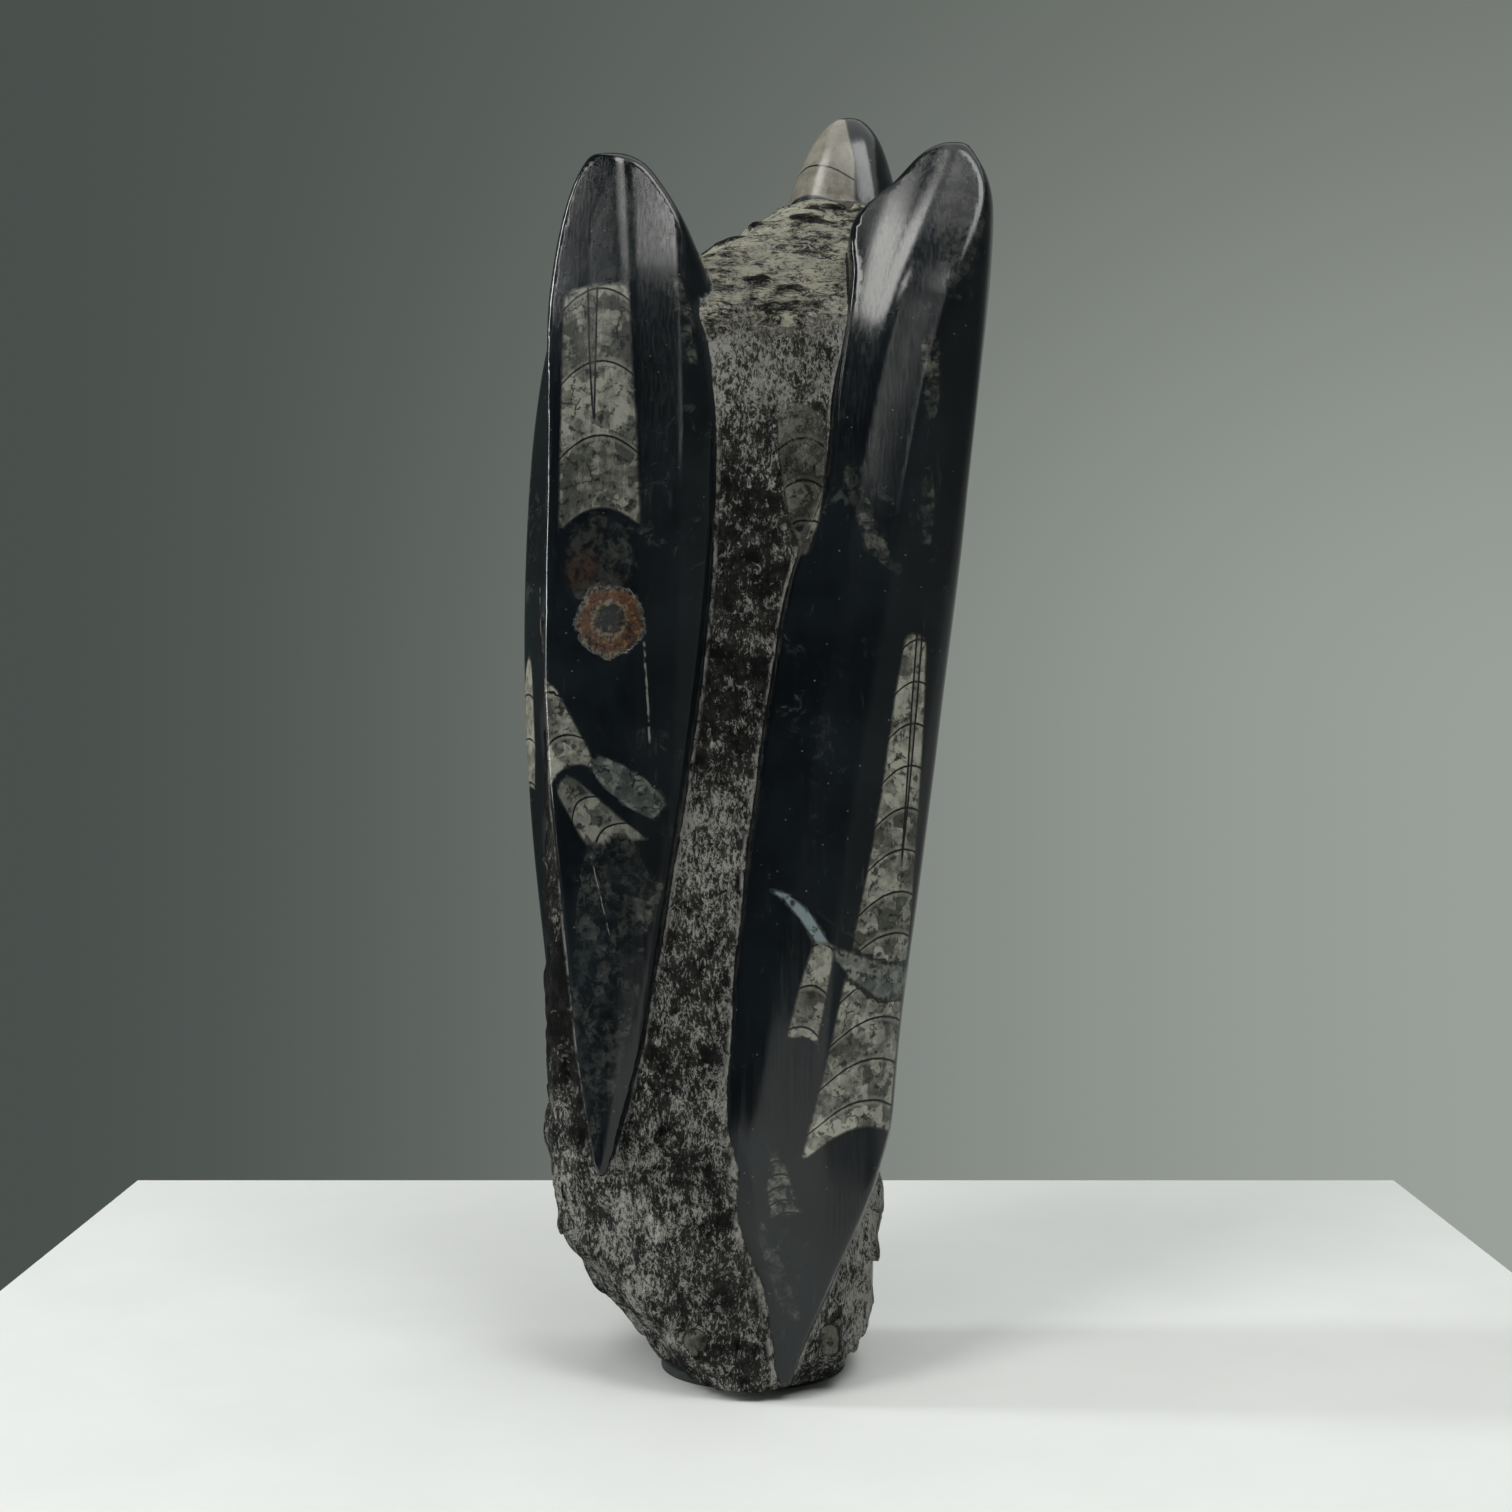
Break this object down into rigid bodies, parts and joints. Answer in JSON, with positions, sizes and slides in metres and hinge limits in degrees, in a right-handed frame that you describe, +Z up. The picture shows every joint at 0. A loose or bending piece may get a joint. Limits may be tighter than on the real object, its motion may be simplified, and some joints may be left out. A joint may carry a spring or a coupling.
{
  "type": "orthoceras fossil",
  "caption": "Tall carved block of black orthoceras limestone: polished pointed spires rising from a rough body, standing on a thin round pad.",
  "frame": {"origin": "middle of the pad's underside, where the object stands", "axes": "+Z up along the tower, -Y out of the front between the front spires, +X to the right seen from the front"},
  "size_m": [0.1565, 0.1085, 0.426],
  "materials": {
    "limestone": "black fossil limestone, mirror polished on the spires and broken rough between them",
    "pad": "thin dark green-black matt sheet with an eased edge"
  },
  "bodies": {
    "root": {"fossil_stone": "limestone", "base_pad": "pad"}
  },
  "joints": []
}
